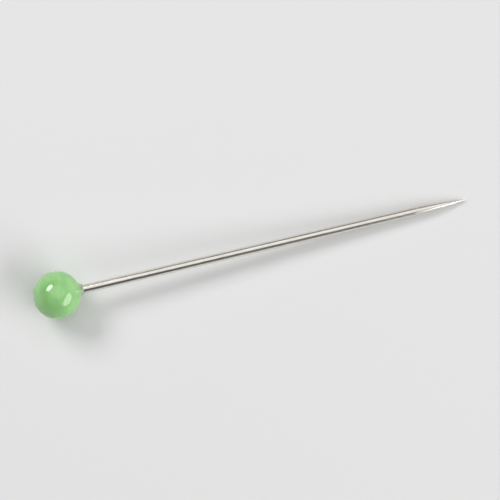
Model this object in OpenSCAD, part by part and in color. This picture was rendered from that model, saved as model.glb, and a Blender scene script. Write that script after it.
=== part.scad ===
// Glass-headed straight pin for sewing, lying as it comes to rest.
// A drawn steel wire, ground to a long rounded point, with a ball of
// glass melted round its blunt end.
// All sizes are in millimetres, all angles in degrees.

/* [Shaft] */
// Length of the whole pin, from the crown of the head to the point
overall_length = 30; // [26:0.5:38]
// Diameter of the drawn wire
wire_diameter = 0.6; // [0.45:0.01:0.72]
// Length of the ground point, from the straight wire to its end
point_length = 3.6; // [2.8:0.1:4.6]
// Radius of the rounded end of the point
point_radius = 0.03; // [0.02:0.005:0.05]
// Rounding on the edge of the cut end that sits in the glass
seat_rounding = 0.08; // [0.05:0.01:0.1]

/* [Head] */
// Diameter of the glass ball
head_diameter = 3.24; // [2.6:0.02:4]
// Glass between the seated end of the wire and the crown of the ball
crown_glass = 0.72; // [0.5:0.02:1]
// Radius of the hollow curve from the ball down to the neck
neck_hollow = 0.25; // [0.15:0.01:0.4]
// Thickness of the glass lip where the neck ends on the wire
neck_lip = 0.05; // [0.03:0.005:0.08]

/* [Hidden] */
$fn = 96;

// Heights are measured along the shaft's axis, from the middle of the ball
// towards the point.
wire_radius = wire_diameter / 2;
head_radius = head_diameter / 2;
seat_height = crown_glass - head_radius;
point_height = overall_length - head_radius;
point_centre = point_height - point_radius;
taper_start = point_height - point_length;

// The point is an ogive: one arc that leaves the straight wire without a
// corner and runs into the rounded end without a corner. Its radius is
// rounded down to a micrometre.
ogive_run = point_centre - taper_start;
ogive_exact = (ogive_run * ogive_run + wire_radius * wire_radius - point_radius * point_radius)
    / (2 * (wire_radius - point_radius));
ogive_radius = floor(ogive_exact * 1000) / 1000;
ogive_offset = ogive_radius - wire_radius;
ogive_facets = 1440;

// The neck is a hollow arc that leaves the ball without a corner and ends
// upright on the lip. Its height is rounded down to a tenth of a micrometre,
// so the arc and the ball always meet.
neck_radius = wire_radius + neck_lip;
hollow_centre = neck_radius + neck_hollow;
hollow_exact = sqrt(pow(head_radius + neck_hollow, 2) - pow(hollow_centre, 2));
hollow_height = floor(hollow_exact * 10000) / 10000;

// Lying pin: the ball and the flank of the ogive touch the same flat surface.
rest_tilt = atan2(ogive_offset, taper_start)
    - asin((ogive_radius - head_radius) / sqrt(pow(taper_start, 2) + pow(ogive_offset, 2)));
head_position = (head_radius - point_centre * cos(rest_tilt) - point_radius) / 2;

// Half of a disc, on the side that is turned about the axis.
module half_disc(radius) {
    intersection() {
        circle(radius);
        translate([0, -radius])
            square([radius, 2 * radius]);
    }
}

// Half section of the straight wire with its rounded seated end.
module wire_outline() {
    translate([0, seat_height + seat_rounding])
        square([wire_radius, taper_start - seat_height - seat_rounding]);
    translate([0, seat_height])
        square([wire_radius - seat_rounding, 2 * seat_rounding]);
    translate([wire_radius - seat_rounding, seat_height + seat_rounding])
        circle(seat_rounding);
}

// Half section of the ground point.
module point_outline() {
    intersection() {
        translate([-ogive_offset, taper_start])
            circle(ogive_radius, $fn = ogive_facets);
        polygon([
            [0, taper_start],
            [wire_radius, taper_start],
            [wire_radius, point_centre + wire_radius * ogive_run / ogive_offset],
            [0, point_centre]
        ]);
    }
    translate([0, point_centre])
        half_disc(point_radius);
}

// Half section of the whole shaft.
module shaft_outline() {
    wire_outline();
    point_outline();
}

// Half section of the neck, with its rounded lip. The slanted side of the
// wedge runs from the middle of the ball to the middle of the hollow, through
// the point where the two arcs touch.
module neck_outline() {
    difference() {
        polygon([
            [0, 0],
            [hollow_centre, hollow_height],
            [0, hollow_height]
        ]);
        translate([hollow_centre, hollow_height])
            circle(neck_hollow);
    }
    translate([wire_radius, hollow_height])
        circle(neck_lip);
}

// Turns the upright pin over until it lies on its ball and its point.
module at_rest() {
    translate([head_position, 0, head_radius])
        rotate([0, 90 + rest_tilt, 0])
            children();
}

// Drawn and ground steel wire.
module steel_shaft() {
    color([0.83, 0.82, 0.8])
        at_rest()
            rotate_extrude()
                shaft_outline();
}

// Glass ball with its neck, hollow where the wire sits.
module glass_head() {
    color([0.57, 0.77, 0.51])
        at_rest()
            rotate_extrude()
                difference() {
                    union() {
                        half_disc(head_radius);
                        neck_outline();
                    }
                    shaft_outline();
                }
}

steel_shaft();
glass_head();
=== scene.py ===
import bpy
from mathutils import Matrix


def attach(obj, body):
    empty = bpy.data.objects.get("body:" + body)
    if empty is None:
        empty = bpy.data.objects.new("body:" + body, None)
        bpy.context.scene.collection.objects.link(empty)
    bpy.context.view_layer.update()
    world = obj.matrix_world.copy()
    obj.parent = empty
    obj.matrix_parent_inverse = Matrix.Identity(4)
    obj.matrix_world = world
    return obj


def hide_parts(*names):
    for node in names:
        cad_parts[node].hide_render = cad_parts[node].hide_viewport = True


bl_info = {
    "name": "Glass-headed sewing pin",
    "version": (1, 0, 0),
    "blender": (4, 5, 0),
    "location": "3D View > Sidebar > Sewing pin",
    "description": "Models a straight pin with a fused glass head, its finishes and a small studio",
    "category": "Object",
}

from itertools import pairwise
from math import asin, atan2, cos, pi, radians, sin, sqrt
from typing import NamedTuple

import bmesh
import bpy
from bpy.props import FloatProperty, FloatVectorProperty, IntProperty, PointerProperty
from bpy.types import Operator, Panel, PropertyGroup
from mathutils import Euler, Matrix, Quaternion, Vector

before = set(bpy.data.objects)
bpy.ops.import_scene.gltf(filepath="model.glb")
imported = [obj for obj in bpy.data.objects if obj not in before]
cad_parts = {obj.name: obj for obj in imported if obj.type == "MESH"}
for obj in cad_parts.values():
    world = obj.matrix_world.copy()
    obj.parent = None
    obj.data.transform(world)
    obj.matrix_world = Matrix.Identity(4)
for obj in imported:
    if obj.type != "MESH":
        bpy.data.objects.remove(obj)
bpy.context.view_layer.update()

MM = 0.001

# Faces along each arc of the half section
SEAT_STEPS = 6
OGIVE_STEPS = 40
POINT_STEPS = 8
HOLLOW_STEPS = 18
LIP_STEPS = 8

# Faces that meet at less than this angle are shaded as one smooth surface
SMOOTH_ANGLE = radians(40)

# How far apart two points may be and still lie on the same cut
CUT_TOLERANCE = 1e-6 * MM
RIM_TOLERANCE = 1e-4 * MM

# A Mix node's sockets for colours, which share their names with its other sockets
FIRST_COLOUR = 6
SECOND_COLOUR = 7
MIXED_COLOUR = 2

# Sizes, colours, gloss and studio levels that a user would change


class PinSizes(PropertyGroup):
    """Sizes of the pin, as in its construction"""

    overall_length: FloatProperty(
        name="Overall length",
        description="From the crown of the head to the end of the point",
        default=30 * MM,
        unit="LENGTH",
        precision=5,
    )
    wire_diameter: FloatProperty(
        name="Wire diameter",
        description="Diameter of the drawn steel wire",
        default=0.6 * MM,
        unit="LENGTH",
        precision=5,
    )
    point_length: FloatProperty(
        name="Point length",
        description="Length of the ground point, from the straight wire to its end",
        default=3.6 * MM,
        unit="LENGTH",
        precision=5,
    )
    point_radius: FloatProperty(
        name="Point radius",
        description="Radius of the rounded end of the point",
        default=0.03 * MM,
        unit="LENGTH",
        precision=6,
    )
    seat_rounding: FloatProperty(
        name="Seat rounding",
        description="Rounding on the cut end that sits in the glass",
        default=0.08 * MM,
        unit="LENGTH",
        precision=6,
    )
    head_diameter: FloatProperty(
        name="Head diameter",
        description="Diameter of the glass ball",
        default=3.24 * MM,
        unit="LENGTH",
        precision=5,
    )
    crown_glass: FloatProperty(
        name="Crown glass",
        description="Glass between the seated end of the wire and the crown",
        default=0.72 * MM,
        unit="LENGTH",
        precision=5,
    )
    neck_hollow: FloatProperty(
        name="Neck hollow",
        description="Radius of the hollow curve from the ball down to the neck",
        default=0.25 * MM,
        unit="LENGTH",
        precision=5,
    )
    neck_lip: FloatProperty(
        name="Neck lip",
        description="Thickness of the glass lip where the neck ends on the wire",
        default=0.05 * MM,
        unit="LENGTH",
        precision=6,
    )
    sides: IntProperty(
        name="Sides",
        description="Faces round the wire and the ball",
        default=128,
        min=24,
        max=256,
    )


class PinColours(PropertyGroup):
    """Colours of the pin and of the floor"""

    glass: FloatVectorProperty(
        name="Glass",
        description="Colour of the glass head",
        subtype="COLOR",
        default=(0.29, 0.56, 0.222),
        min=0,
        max=1,
    )
    steel: FloatVectorProperty(
        name="Steel",
        description="Colour of the plated steel",
        subtype="COLOR",
        default=(0.83, 0.803, 0.745),
        min=0,
        max=1,
    )
    floor: FloatVectorProperty(
        name="Floor",
        description="Colour of the floor under the pin",
        subtype="COLOR",
        default=(0.72, 0.72, 0.72),
        min=0,
        max=1,
    )


class PinGloss(PropertyGroup):
    """How smooth each surface is, and how light spreads in the glass"""

    wire_roughness: FloatProperty(
        name="Wire roughness",
        description="Roughness of the plated wire between its drawing lines",
        default=0.12,
        min=0,
        max=1,
    )
    point_roughness: FloatProperty(
        name="Point roughness",
        description="Roughness of the ground point between its grinding marks",
        default=0.2,
        min=0,
        max=1,
    )
    glass_roughness: FloatProperty(
        name="Glass roughness",
        description="Roughness of the glass where it is smoothest",
        default=0.05,
        min=0,
        max=1,
    )
    glow: FloatProperty(
        name="Glow",
        description="Share of the light that enters the glass and spreads in it",
        default=0.75,
        min=0,
        max=1,
    )
    glow_depth: FloatProperty(
        name="Glow depth",
        description="How far green light spreads in the glass",
        default=0.8 * MM,
        unit="LENGTH",
        precision=5,
    )


class StudioLevels(PropertyGroup):
    """Lamps, walls and camera of the small studio"""

    key: FloatProperty(
        name="Key lamp",
        description="Brightness of the lamp at the upper left of the picture, with white at 1",
        default=10.5,
    )
    fill: FloatProperty(
        name="Fill lamp",
        description="Brightness of the lamp at the right of the picture, with white at 1",
        default=4.3,
    )
    top: FloatProperty(
        name="Top lamp",
        description="Brightness of the large soft lamp above the pin, with white at 1",
        default=0.92,
    )
    walls: FloatProperty(
        name="Walls",
        description="Brightness of the walls above the horizon, with the floor's colour at 1",
        default=0.15,
    )
    walls_slope: FloatProperty(
        name="Walls at the right",
        description="How much brighter the walls are at the right, and darker at the left",
        default=0.25,
    )
    lamp_distance: FloatProperty(
        name="Lamp distance",
        description="Distance of every lamp from the middle of the pin",
        default=350 * MM,
        unit="LENGTH",
    )
    camera_distance: FloatProperty(
        name="Camera distance",
        description="Height of the camera above the floor",
        default=200 * MM,
        unit="LENGTH",
    )
    picture_turn: FloatProperty(
        name="Picture turn",
        description="Slope of the shaft in the picture, rising to the right",
        default=radians(13.2),
        subtype="ANGLE",
    )
    picture_width: FloatProperty(
        name="Picture width",
        description="Width of the floor that the camera sees",
        default=34 * MM,
        unit="LENGTH",
        precision=4,
    )


# Places on the pin, worked out from its sizes


class PinForm:
    """The upright half section: radii from the shaft's axis, and heights
    from the middle of the ball towards the point"""

    def __init__(self, sizes):
        self.wire = sizes.wire_diameter / 2
        self.ball = sizes.head_diameter / 2
        self.tip = sizes.point_radius
        self.rounding = sizes.seat_rounding
        self.seat = sizes.crown_glass - self.ball
        self.end = sizes.overall_length - self.ball
        self.tip_centre = self.end - self.tip
        self.taper = self.end - sizes.point_length

        # One arc runs from the straight wire to the rounded end, with no corner
        run = self.tip_centre - self.taper
        self.ogive = (run**2 + self.wire**2 - self.tip**2) / (2 * (self.wire - self.tip))
        self.offset = self.ogive - self.wire
        self.tip_angle = atan2(run, self.offset)

        # One hollow arc runs from the ball to the upright side of the lip
        self.hollow = sizes.neck_hollow
        self.lip = sizes.neck_lip
        self.hollow_centre = self.wire + self.lip + self.hollow
        self.neck = sqrt((self.ball + self.hollow) ** 2 - self.hollow_centre**2)
        self.neck_angle = atan2(self.neck, self.hollow_centre)

        # The pin lies with its ball and the flank of its point on one flat surface
        self.tilt = atan2(self.offset, self.taper) - asin(
            (self.ogive - self.ball) / sqrt(self.taper**2 + self.offset**2)
        )
        reach = self.tip_centre * cos(self.tilt) + self.tip
        self.head_place = Vector(((self.ball - reach) / 2, 0, self.ball))

    def seat_edge(self):
        """Rounding on the cut end of the wire, from the flat end outwards"""
        centre = (self.wire - self.rounding, self.seat + self.rounding)
        return arc(centre, self.rounding, -pi / 2, 0, SEAT_STEPS)

    def ogive_flank(self):
        """Long curve of the ground point"""
        return arc((-self.offset, self.taper), self.ogive, 0, self.tip_angle, OGIVE_STEPS)

    def point_end(self):
        """Rounded end of the point"""
        return arc((0, self.tip_centre), self.tip, self.tip_angle, pi / 2, POINT_STEPS)

    def neck_curve(self):
        """Hollow curve from the ball to the lip"""
        centre = (self.hollow_centre, self.neck)
        return arc(centre, self.hollow, pi + self.neck_angle, pi, HOLLOW_STEPS)

    def lip_edge(self):
        """Rounded lip of the glass, down to the wire"""
        return arc((self.wire, self.neck), self.lip, 0, pi / 2, LIP_STEPS)


def arc(centre, radius, start, end, steps):
    """Points of an arc in the half section, each as its radius and its height"""
    angles = [start + (end - start) * step / steps for step in range(steps + 1)]
    return [(centre[0] + radius * cos(a), centre[1] + radius * sin(a)) for a in angles]


# Steps of modelling that both pieces share


def clear_selection():
    """Deselects the CAD nodes and the earlier pieces"""
    bpy.ops.object.select_all(action="DESELECT")


def extrude_rings(rings):
    """Extrudes the selected rim or cap from ring to ring"""
    for (radius, height), (next_radius, next_height) in pairwise(rings):
        bpy.ops.mesh.extrude_region_move(
            TRANSFORM_OT_translate={"value": (0, 0, next_height - height)}
        )
        ratio = next_radius / radius
        bpy.ops.transform.resize(value=(ratio, ratio, 1), center_override=(0, 0, next_height))


def select_rim(piece, height):
    """Selects the edges that lie at one height"""
    bpy.ops.mesh.select_all(action="DESELECT")
    work = bmesh.from_edit_mesh(piece.data)
    for edge in work.edges:
        edge.select_set(all(abs(end.co.z - height) < RIM_TOLERANCE for end in edge.verts))
    bmesh.update_edit_mesh(piece.data)


def close_up():
    """Turns every face of the finished piece outwards and leaves edit mode"""
    bpy.ops.mesh.select_all(action="SELECT")
    bpy.ops.mesh.normals_make_consistent(inside=False)
    bpy.ops.object.mode_set(mode="OBJECT")


def lay_down(piece, form):
    """Lays the upright piece on its ball and its point, with its place in its mesh"""
    piece.rotation_euler = Euler((0, pi / 2 + form.tilt, 0))
    piece.location = form.head_place
    bpy.ops.object.transform_apply(location=True, rotation=True, scale=True)


def complete(piece, node, finish):
    """Shades the piece, gives it its finish and sets it in the frame"""
    bpy.ops.object.shade_smooth_by_angle(angle=SMOOTH_ANGLE)
    piece.data.materials.append(finish)
    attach(piece, "root")
    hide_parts(node)


# Materials written as expressions


class Value:
    """A socket of a shader's nodes, with which sums are written as in Python"""

    def __init__(self, shading, socket):
        self.shading = shading
        self.socket = socket

    def sum(self, operation, first, second):
        return self.shading.node("ShaderNodeMath", {"operation": operation}, {0: first, 1: second})

    def __add__(self, other):
        return self.sum("ADD", self, other)

    def __radd__(self, other):
        return self.sum("ADD", other, self)

    def __sub__(self, other):
        return self.sum("SUBTRACT", self, other)

    def __rsub__(self, other):
        return self.sum("SUBTRACT", other, self)

    def __mul__(self, other):
        return self.sum("MULTIPLY", self, other)

    def __rmul__(self, other):
        return self.sum("MULTIPLY", other, self)

    def at_least(self, lowest):
        return self.sum("MAXIMUM", self, lowest)

    def between(self, low, high):
        """0 below low, 1 above high, and a soft step from one to the other"""
        return self.shading.node(
            "ShaderNodeMapRange",
            {"interpolation_type": "SMOOTHSTEP"},
            {"Value": self, "From Min": low, "From Max": high, "To Min": 0.0, "To Max": 1.0},
        )


class Shading:
    """The nodes of a material or of the world"""

    def __init__(self, owner):
        self.owner = owner
        owner.use_nodes = True
        self.nodes = owner.node_tree.nodes
        self.links = owner.node_tree.links
        self.nodes.clear()

    def node(self, kind, settings=None, values=None, output=0):
        """Adds a node: its settings first, then the values or links of its sockets"""
        made = self.nodes.new(kind)
        for name, setting in (settings or {}).items():
            setattr(made, name, setting)
        for name, value in (values or {}).items():
            if isinstance(value, Value):
                self.links.new(value.socket, made.inputs[name])
            else:
                made.inputs[name].default_value = value
        return Value(self, made.outputs[output]) if made.outputs else None

    def parts(self, vector):
        """The three numbers of a vector"""
        separate = self.node("ShaderNodeSeparateXYZ", values={"Vector": vector})
        return [Value(self, socket) for socket in separate.socket.node.outputs]

    def place(self):
        """Place on the object, in metres"""
        return self.node("ShaderNodeTexCoord", output="Object")

    def pin_place(self, form):
        """Place on the lying pin, in millimetres: along the shaft from the
        middle of the ball, and across it"""
        return self.node(
            "ShaderNodeMapping",
            {"vector_type": "TEXTURE"},
            {
                "Vector": self.place(),
                "Location": form.head_place,
                "Rotation": (0, form.tilt, 0),
                "Scale": (MM, MM, MM),
            },
        )

    def noise(self, vector, scale, detail=2.0, roughness=0.5, distortion=0.0):
        return self.node(
            "ShaderNodeTexNoise",
            {"noise_dimensions": "3D"},
            {
                "Vector": vector,
                "Scale": scale,
                "Detail": detail,
                "Roughness": roughness,
                "Distortion": distortion,
            },
        )

    def shaft_noise(self, parts, along, across, **settings):
        """Noise with one scale along the shaft and another across it"""
        stretched = self.node(
            "ShaderNodeCombineXYZ",
            values={"X": parts[0] * along, "Y": parts[1] * across, "Z": parts[2] * across},
        )
        return self.noise(stretched, scale=1.0, **settings)

    def blend(self, factor, first, second):
        """Mixes two colours"""
        return self.node(
            "ShaderNodeMix",
            {"data_type": "RGBA"},
            {"Factor": factor, FIRST_COLOUR: first, SECOND_COLOUR: second},
            output=MIXED_COLOUR,
        )

    def bump(self, height, depth, normal=None):
        """Relief of the given depth, on top of an earlier one if there is one"""
        values = {"Height": height, "Distance": depth}
        if normal is not None:
            values["Normal"] = normal
        return self.node("ShaderNodeBump", values=values)

    def surface(self, values):
        """Principled surface, straight to the output"""
        shader = self.node("ShaderNodeBsdfPrincipled", values=values)
        self.node("ShaderNodeOutputMaterial", values={"Surface": shader})
        return self.owner


def rgba(colour, red=1.0, green=1.0, blue=1.0):
    """A colour with full cover, with its three parts scaled"""
    return (colour[0] * red, colour[1] * green, colour[2] * blue, 1.0)


def plated_steel(form, colour, gloss):
    """Bright plated wire with drawing lines, and grinding marks on its point"""
    finish = Shading(bpy.data.materials.new("plated_steel"))
    parts = finish.parts(finish.pin_place(form))
    along = parts[0]
    taper = form.taper / MM
    grind_fade = 0.25
    ground = along.between(taper - grind_fade, taper + grind_fade)

    draw_lines = finish.shaft_noise(parts, along=0.25, across=14.0, detail=4.0, roughness=0.62)
    fine_lines = finish.shaft_noise(parts, along=0.4, across=55.0, roughness=0.6)
    long_streaks = finish.shaft_noise(parts, along=0.18, across=3.2)
    grinding = finish.shaft_noise(parts, along=2.2, across=26.0, detail=3.0, roughness=0.6)
    rub_marks = finish.shaft_noise(parts, along=1.6, across=5.0, detail=5.0, roughness=0.65)

    lined = finish.blend(
        (draw_lines * 0.6 + fine_lines * 0.4).between(0.4, 0.62),
        rgba(colour, red=0.9, green=0.9, blue=0.9),
        rgba(colour, red=1.04, green=1.04, blue=1.04),
    )
    rubbed = finish.blend(
        rub_marks.between(0.42, 0.72),
        lined,
        rgba(colour, red=0.86, green=0.84, blue=0.8),
    )

    line_roughness = draw_lines * 0.08 + fine_lines * 0.05 + long_streaks * 0.05
    drawn_roughness = gloss.wire_roughness + line_roughness
    ground_roughness = gloss.point_roughness + grinding * 0.16
    roughness = drawn_roughness * (1 - ground) + ground_roughness * ground

    drawn_height = (draw_lines + fine_lines * 0.35) * (1 - ground)
    drawn_relief = finish.bump(drawn_height, depth=0.0012 * MM)
    relief = finish.bump(grinding * ground, depth=0.001 * MM, normal=drawn_relief)
    return finish.surface(
        {
            "Base Color": rubbed,
            "Metallic": 1.0,
            "Roughness": roughness,
            "Normal": relief,
        }
    )


def opal_glass(form, colour, gloss):
    """Flame-polished opal glass, with faint streaks from winding, and paler
    where it thins out at the wire"""
    finish = Shading(bpy.data.materials.new("opal_glass"))
    place = finish.pin_place(form)
    parts = finish.parts(place)
    along = parts[0]
    neck = form.neck / MM
    thin_length = 0.42
    near_wire = along.between(neck - thin_length, neck)

    winding = finish.shaft_noise(parts, along=1.5, across=0.55, detail=3.0, distortion=0.6)
    cloud = finish.noise(place, scale=0.8, distortion=0.3)
    waves = finish.noise(place, scale=0.75, detail=1.0, roughness=0.4)
    skin = finish.noise(place, scale=9.0, detail=3.0, roughness=0.6)

    streaked = finish.blend(
        winding.between(0.36, 0.66),
        rgba(colour, red=0.93, green=0.96, blue=0.93),
        rgba(colour, red=1.09, green=1.04, blue=1.09),
    )
    clouded = finish.blend(
        cloud.between(0.45, 0.75) * 0.5,
        streaked,
        rgba(colour, red=0.92, green=0.97, blue=0.9),
    )
    thinned = finish.blend(
        near_wire * 0.6,
        clouded,
        rgba(colour, red=1.45, green=1.1, blue=1.45),
    )
    return finish.surface(
        {
            "Base Color": thinned,
            "Roughness": gloss.glass_roughness + skin.between(0.4, 0.8) * 0.05,
            "IOR": 1.6,
            "Subsurface Weight": gloss.glow,
            "Subsurface Radius": (0.8, 1.0, 0.65),
            "Subsurface Scale": gloss.glow_depth,
            "Normal": finish.bump(waves, depth=0.006 * MM),
        }
    )


def paper_floor(colour):
    """Plain matt floor"""
    finish = Shading(bpy.data.materials.new("paper_floor"))
    grain = finish.noise(finish.place(), scale=9 / MM, detail=3.0, roughness=0.6)
    return finish.surface(
        {
            "Base Color": rgba(colour),
            "Roughness": 0.9,
            "Specular IOR Level": 0.1,
            "Normal": finish.bump(grain, depth=0.004 * MM),
        }
    )


# The studio: its floor, its lamps, and how pale its walls are


class SoftLamp(NamedTuple):
    """A flat oval lamp that faces the pin, rolled by some degrees. Its direction
    is as the picture shows it: to the right, up, and towards the camera."""

    direction: tuple
    width: float
    height: float
    roll: float = 0


LAMPS = {
    "key": SoftLamp(direction=(-0.575, 0.539, 0.615), width=215 * MM, height=125 * MM),
    "fill": SoftLamp(direction=(0.78, -0.36, 0.5), width=405 * MM, height=215 * MM, roll=-8),
    "top": SoftLamp(direction=(0.05, 0.28, 0.96), width=540 * MM, height=450 * MM),
}
FLOOR_WIDTH = 500 * MM

# The walls are as pale as the floor up to the first height and have their own
# level from the second. A height is the sine of the angle above the horizon.
PALE_HEIGHT = 0.1
LEVEL_HEIGHT = 0.25
DARKEST_WALL = 0.05

# Operators, one for each piece and one for the stage


class PIN_OT_steel_shaft(Operator):
    """Model the drawn and ground steel wire"""

    bl_idname = "pin.steel_shaft"
    bl_label = "Steel shaft"
    bl_options = {"REGISTER", "UNDO"}

    def execute(self, context):
        scene = context.scene
        form = PinForm(scene.pin_sizes)
        rings = form.seat_edge() + form.ogive_flank() + form.point_end()[1:-1]
        cap_radius, cap_height = rings[0]
        last_height = rings[-1][1]
        clear_selection()
        bpy.ops.mesh.primitive_circle_add(
            vertices=scene.pin_sizes.sides,
            radius=cap_radius,
            fill_type="NGON",
            location=(0, 0, 0),
        )
        piece = context.active_object
        piece.name = "ground_shaft"
        bpy.ops.object.mode_set(mode="EDIT")
        bpy.ops.mesh.select_all(action="SELECT")
        bpy.ops.transform.translate(value=(0, 0, cap_height))
        extrude_rings(rings)
        bpy.ops.mesh.extrude_region_move(
            TRANSFORM_OT_translate={"value": (0, 0, form.end - last_height)}
        )
        bpy.ops.mesh.merge(type="CENTER")
        close_up()
        lay_down(piece, form)
        steel = plated_steel(form, scene.pin_colours.steel, scene.pin_gloss)
        complete(piece, "steel_shaft", steel)
        return {"FINISHED"}


class PIN_OT_glass_head(Operator):
    """Model the glass ball with its neck and the hollow for the wire"""

    bl_idname = "pin.glass_head"
    bl_label = "Glass head"
    bl_options = {"REGISTER", "UNDO"}

    def execute(self, context):
        scene = context.scene
        form = PinForm(scene.pin_sizes)
        rings = form.neck_curve() + form.lip_edge()[1:] + form.seat_edge()[::-1]
        rim_height = rings[0][1]
        clear_selection()
        bpy.ops.mesh.primitive_uv_sphere_add(
            segments=scene.pin_sizes.sides,
            ring_count=scene.pin_sizes.sides // 2,
            radius=form.ball,
            location=(0, 0, 0),
        )
        piece = context.active_object
        piece.name = "fused_head"
        bpy.ops.object.mode_set(mode="EDIT")
        bpy.ops.mesh.select_all(action="SELECT")
        bpy.ops.mesh.bisect(
            plane_co=(0, 0, rim_height),
            plane_no=(0, 0, 1),
            clear_outer=True,
            threshold=CUT_TOLERANCE,
        )
        select_rim(piece, rim_height)
        extrude_rings(rings)
        bpy.ops.mesh.edge_face_add()
        close_up()
        lay_down(piece, form)
        glass = opal_glass(form, scene.pin_colours.glass, scene.pin_gloss)
        complete(piece, "glass_head", glass)
        return {"FINISHED"}


class PIN_OT_stage(Operator):
    """Lay the floor, hang the lamps, light the walls and set the camera"""

    bl_idname = "pin.stage"
    bl_label = "Stage"
    bl_options = {"REGISTER", "UNDO"}

    def execute(self, context):
        scene = context.scene
        self.lay_floor(scene.pin_colours)
        for name, lamp in LAMPS.items():
            self.hang_lamp(name, lamp, scene.pin_levels)
        scene.world = self.light_walls(scene.pin_colours, scene.pin_levels)
        scene.camera = self.set_camera(scene.pin_levels)
        scene.view_settings.view_transform = "Standard"
        return {"FINISHED"}

    def lay_floor(self, colours):
        """Lays a plain floor under the pin, which isn't part of it"""
        clear_selection()
        bpy.ops.mesh.primitive_plane_add(size=FLOOR_WIDTH, location=(0, 0, 0))
        floor = bpy.context.active_object
        floor.name = "floor"
        floor.data.materials.append(paper_floor(colours.floor))

    def hang_lamp(self, name, lamp, levels):
        """Hangs the lamp facing the pin, hidden from the camera alone"""
        clear_selection()
        turn = Matrix.Rotation(-levels.picture_turn, 3, "Z")
        direction = turn @ Vector(lamp.direction).normalized()
        bpy.ops.object.light_add(type="AREA", location=direction * levels.lamp_distance)
        light = bpy.context.active_object
        light.name = f"{name}_lamp"
        facing = direction.to_track_quat("Z", "Y")
        rolled = facing @ Quaternion((0, 0, 1), radians(lamp.roll))
        light.rotation_euler = rolled.to_euler()
        light.data.shape = "ELLIPSE"
        light.data.size = lamp.width
        light.data.size_y = lamp.height
        # A lamp of one square metre looks white at pi watts
        area = pi * lamp.width * lamp.height / 4
        light.data.energy = getattr(levels, name) * pi * area
        light.visible_camera = False

    def light_walls(self, colours, levels):
        """Makes walls that are as pale as the floor along the horizon. Above
        it they light the pin from the right and are dark on its left."""
        walls = Shading(bpy.data.worlds.new("studio_walls"))
        direction = walls.node("ShaderNodeTexCoord", output="Generated")
        rightwards, _, upwards = walls.parts(direction)
        high_up = upwards.between(PALE_HEIGHT, LEVEL_HEIGHT)
        level = (levels.walls + rightwards * levels.walls_slope).at_least(DARKEST_WALL)
        light = walls.node(
            "ShaderNodeBackground",
            values={"Color": rgba(colours.floor), "Strength": 1 - high_up + level * high_up},
        )
        walls.node("ShaderNodeOutputWorld", values={"Surface": light})
        return walls.owner

    def set_camera(self, levels):
        """Adds a camera that looks straight down on the lying pin"""
        clear_selection()
        bpy.ops.object.camera_add(
            location=(0, 0, levels.camera_distance),
            rotation=(0, 0, -levels.picture_turn),
        )
        camera = bpy.context.active_object
        camera.name = "camera"
        camera.data.lens = camera.data.sensor_width * levels.camera_distance / levels.picture_width
        camera.data.clip_start = 2 * MM
        return camera


class PIN_PT_panel(Panel):
    """Lists the pin's sizes, colours, gloss and studio levels, and its steps"""

    bl_label = "Sewing pin"
    bl_idname = "PIN_PT_panel"
    bl_space_type = "VIEW_3D"
    bl_region_type = "UI"
    bl_category = "Sewing pin"

    def draw(self, context):
        layout = self.layout
        for group in GROUPS:
            settings = getattr(context.scene, group)
            column = layout.column(align=True)
            for name in settings.bl_rna.properties.keys():
                if name not in {"rna_type", "name"}:
                    column.prop(settings, name)
        for step in STEPS:
            layout.operator(step.bl_idname)


GROUPS = {
    "pin_sizes": PinSizes,
    "pin_colours": PinColours,
    "pin_gloss": PinGloss,
    "pin_levels": StudioLevels,
}
STEPS = (PIN_OT_steel_shaft, PIN_OT_glass_head, PIN_OT_stage)
CLASSES = (*GROUPS.values(), *STEPS, PIN_PT_panel)


def register():
    for each in CLASSES:
        bpy.utils.register_class(each)
    for name, group in GROUPS.items():
        setattr(bpy.types.Scene, name, PointerProperty(type=group))


def unregister():
    for name in GROUPS:
        delattr(bpy.types.Scene, name)
    for each in reversed(CLASSES):
        bpy.utils.unregister_class(each)


def main():
    register()
    bpy.ops.pin.steel_shaft()
    bpy.ops.pin.glass_head()
    bpy.ops.pin.stage()


if __name__ == "__main__":
    main()
